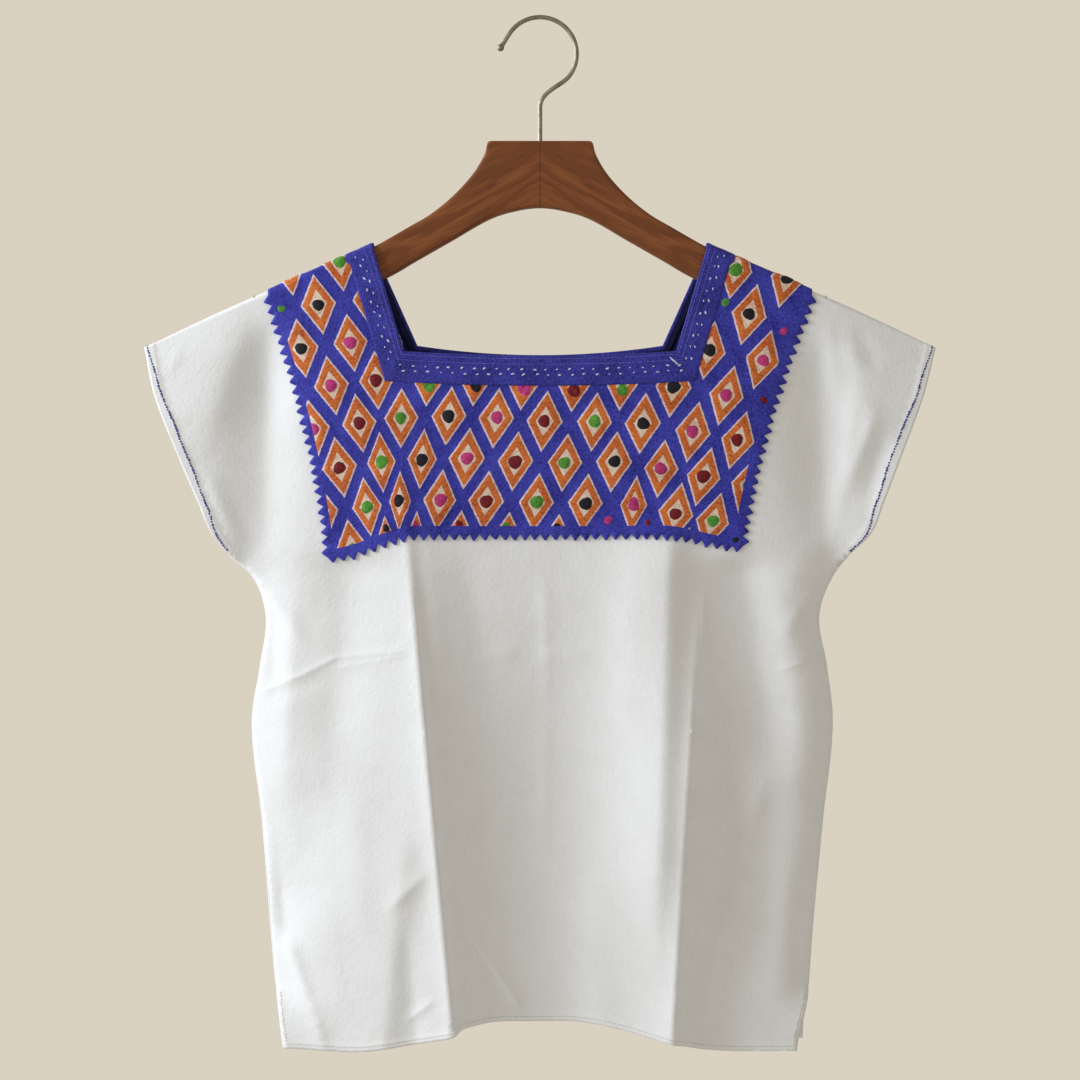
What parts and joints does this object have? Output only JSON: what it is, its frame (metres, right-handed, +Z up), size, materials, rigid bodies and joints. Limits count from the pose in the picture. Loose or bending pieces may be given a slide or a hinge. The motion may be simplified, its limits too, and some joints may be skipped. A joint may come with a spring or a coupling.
{
  "type": "blouse on a wooden hanger",
  "caption": "Square-necked cotton blouse with cap sleeves and an embroidered yoke with a toothed edge, hanging open at neck, cuffs and hem on a flat wooden hanger with a wire hook.",
  "frame": {"origin": "under the crown of the hook, where the hook rests on its rail, in the middle of the hanger's thickness", "axes": "+Z up along the hook's stem, -Y out of the blouse's front, +X to the right as the front is seen"},
  "size_m": [0.5924, 0.0681, 0.7747],
  "materials": {
    "white_cotton": "plain woven cotton",
    "blue_embroidery": "dense thread embroidery",
    "walnut": "satin",
    "nickel_wire": "satin"
  },
  "bodies": {
    "root": {"front_body": "white_cotton", "back_body": "white_cotton", "front_yoke": "blue_embroidery", "back_yoke": "blue_embroidery", "front_neck_band": "blue_embroidery", "back_neck_band": "blue_embroidery", "hanger_bar": "walnut", "hanger_hook": "nickel_wire"}
  },
  "joints": []
}
